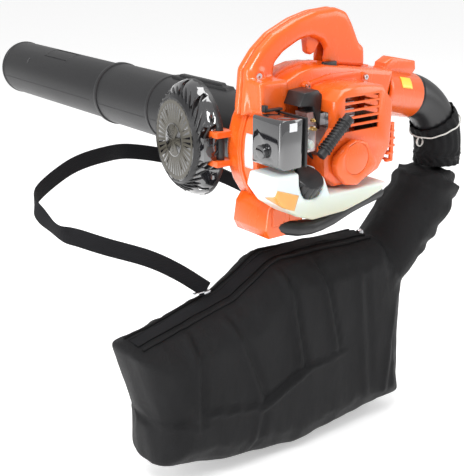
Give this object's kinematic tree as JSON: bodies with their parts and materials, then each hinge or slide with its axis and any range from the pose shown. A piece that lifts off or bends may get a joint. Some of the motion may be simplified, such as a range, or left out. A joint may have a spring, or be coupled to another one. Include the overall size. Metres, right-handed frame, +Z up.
{
  "type": "leaf blower and vacuum",
  "caption": "Petrol garden blower in vacuum trim: fan case with top handle, side intake tube, hinged intake guard, outlet elbow and a zipped collection bag.",
  "frame": {"origin": "middle of the hand grip on top of the handle", "axes": "+X towards the outlet and the bag's elbow, +Y out along the intake tube, +Z up; the crankshaft lies along Y"},
  "size_m": [0.7868, 1.0747, 0.715],
  "materials": {
    "orange": "glossy moulded",
    "black": "satin moulded",
    "gloss": "polished",
    "silver": "cast",
    "steel": "machined",
    "dark": "heat darkened",
    "milky": "translucent",
    "fabric": "woven polyester",
    "foam": "open cell foam",
    "rubber": "matte"
  },
  "bodies": {
    "housing": {"fan_case_intake_half": "orange", "fan_case_engine_half": "orange", "outlet_spout": "orange", "foot": "orange", "stand_bow": "black", "handle_intake_half": "orange", "handle_engine_half": "orange", "trigger_pin": "steel", "guard_hinge_pin": "steel", "engine_shroud": "orange", "exhaust_guard": "orange", "starter_cover": "orange", "starter_badge": "orange", "crankcase": "silver", "cylinder": "silver", "bearing_starter_side": "steel", "bearing_fan_side": "steel", "recoil_spring": "steel", "muffler": "dark", "spark_plug": "steel", "plug_boot": "rubber", "ignition_coil": "black", "carburettor": "silver", "air_filter_base": "black", "air_filter_element": "foam", "fuel_tank": "milky", "fuel_line": "rubber", "shroud_screw_1": "steel", "shroud_screw_2": "steel", "handle_screw": "steel"},
    "trigger": {"throttle_trigger": "black"},
    "stop_switch": {"stop_switch": "black"},
    "near_tube": {"near_tube": "black"},
    "far_tube": {"far_tube": "black"},
    "guard": {"intake_guard": "gloss"},
    "elbow_and_bag": {"elbow": "black", "bag_cuff": "fabric", "bag": "fabric", "zip_track": "fabric", "strap": "fabric", "drawcord": "fabric"},
    "zip_pull": {"zip_pull": "steel"},
    "crank": {"crankshaft_starter_side": "steel", "crankshaft_fan_side": "steel", "flywheel": "silver", "impeller": "black", "impeller_nut": "steel"},
    "piston": {"piston": "silver", "piston_pin": "steel"},
    "rod": {"connecting_rod": "steel", "crank_pin": "steel"},
    "starter_pulley": {"starter_pulley": "black"},
    "starter_grip": {"starter_grip": "black", "starter_rope": "rubber"},
    "choke": {"choke_lever": "black"},
    "primer": {"primer_bulb": "milky"},
    "filter_cover": {"air_filter_cover": "gloss"},
    "filter_knob": {"air_filter_knob": "gloss"},
    "fuel_cap": {"fuel_cap": "black"}
  },
  "joints": [
    {"name": "trigger_hinge", "type": "hinge", "parent": "housing", "child": "trigger", "pos_m": [0.038, 0, -0.008], "axis": [0, 1, 0], "range_deg": [0, 12], "stiffness_Nm_per_rad": 0.35, "springref_deg": -11.46},
    {"name": "stop_switch_slide", "type": "slide", "parent": "housing", "child": "stop_switch", "axis": [1, 0, 0], "range_m": [0, 0.004]},
    {"name": "near_tube_slide", "type": "slide", "parent": "housing", "child": "near_tube", "axis": [0, 1, 0], "range_m": [0, 0.08]},
    {"name": "far_tube_slide", "type": "slide", "parent": "near_tube", "child": "far_tube", "axis": [0, 1, 0], "range_m": [0, 0.06]},
    {"name": "guard_hinge", "type": "hinge", "parent": "housing", "child": "guard", "pos_m": [-0.15, 0.044, -0.18], "axis": [0, 0, 1], "range_deg": [-8, 10]},
    {"name": "elbow_slide", "type": "slide", "parent": "housing", "child": "elbow_and_bag", "axis": [0.9781, 0, -0.2079], "range_m": [0, 0.045]},
    {"name": "zip_slide", "type": "slide", "parent": "elbow_and_bag", "child": "zip_pull", "axis": [0.9672, 0, 0.2541], "range_m": [-0.1, 0.02]},
    {"name": "crank_spin", "type": "hinge", "parent": "housing", "child": "crank", "pos_m": [-0.012, 0, -0.184], "axis": [0, 1, 0], "continuous": true},
    {"name": "piston_slide", "type": "slide", "parent": "housing", "child": "piston", "axis": [0, 0, 1], "range_m": [-0.028, 0]},
    {"name": "rod_hinge", "type": "hinge", "parent": "piston", "child": "rod", "pos_m": [-0.012, -0.058, -0.118], "axis": [0, 1, 0], "range_deg": [-10, 10]},
    {"name": "grip_pull", "type": "slide", "parent": "housing", "child": "starter_grip", "axis": [-0.514, -0.6475, 0.5627], "range_m": [0, 0.7], "stiffness_N_per_m": 8, "springref_m": -0.05},
    {"name": "pulley_spin", "type": "hinge", "parent": "housing", "child": "starter_pulley", "pos_m": [-0.012, -0.116, -0.184], "axis": [0, 1, 0], "range_deg": [-60, 2900]},
    {"name": "choke_hinge", "type": "hinge", "parent": "housing", "child": "choke", "pos_m": [-0.1065, -0.06, -0.11], "axis": [0, 0, 1], "range_deg": [-10, 60]},
    {"name": "primer_press", "type": "slide", "parent": "housing", "child": "primer", "axis": [0, 1, 0], "range_m": [0, 0.004], "stiffness_N_per_m": 1200, "springref_m": -0.0005},
    {"name": "filter_cover_slide", "type": "slide", "parent": "housing", "child": "filter_cover", "axis": [-1, 0, 0], "range_m": [0, 0.06]},
    {"name": "filter_knob_turn", "type": "hinge", "parent": "filter_cover", "child": "filter_knob", "pos_m": [-0.132, -0.084, -0.16], "axis": [1, 0, 0], "range_deg": [-360, 360]},
    {"name": "fuel_cap_turn", "type": "hinge", "parent": "housing", "child": "fuel_cap", "pos_m": [-0.096, -0.112, -0.209], "axis": [0, -0.6, 0.8], "range_deg": [0, 360]}
  ],
  "couplings": [
    {"joint": "pulley_spin", "follows": "grip_pull", "rad_per_m": 71}
  ]
}
